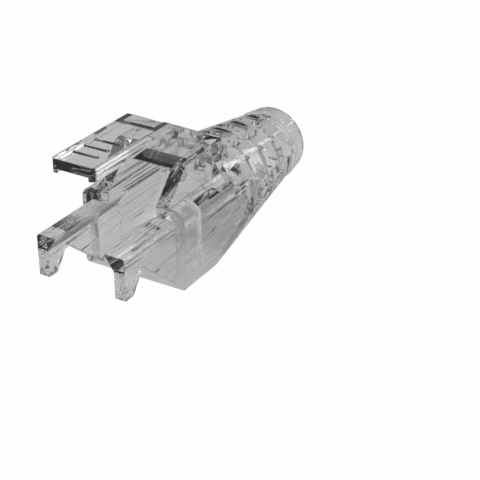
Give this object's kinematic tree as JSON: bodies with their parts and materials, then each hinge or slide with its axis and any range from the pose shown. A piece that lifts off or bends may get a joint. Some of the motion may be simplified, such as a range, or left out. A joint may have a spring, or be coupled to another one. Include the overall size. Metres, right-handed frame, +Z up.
{
  "type": "strain relief boot",
  "caption": "Clear one-piece strain relief boot for a modular plug, with a slotted tube, a latch hood, a thumb lever and two hooked arms.",
  "frame": {"origin": "centre of the underside's front edge, where the plug enters the housing", "axes": "+Y from the plug to the cable, +Z up to the lever, X across, with X = 0 the plane of symmetry"},
  "size_m": [0.014, 0.0426, 0.0185],
  "materials": {
    "clear_plastic": "clear gloss"
  },
  "bodies": {
    "root": {"boot": "clear_plastic"}
  },
  "joints": []
}
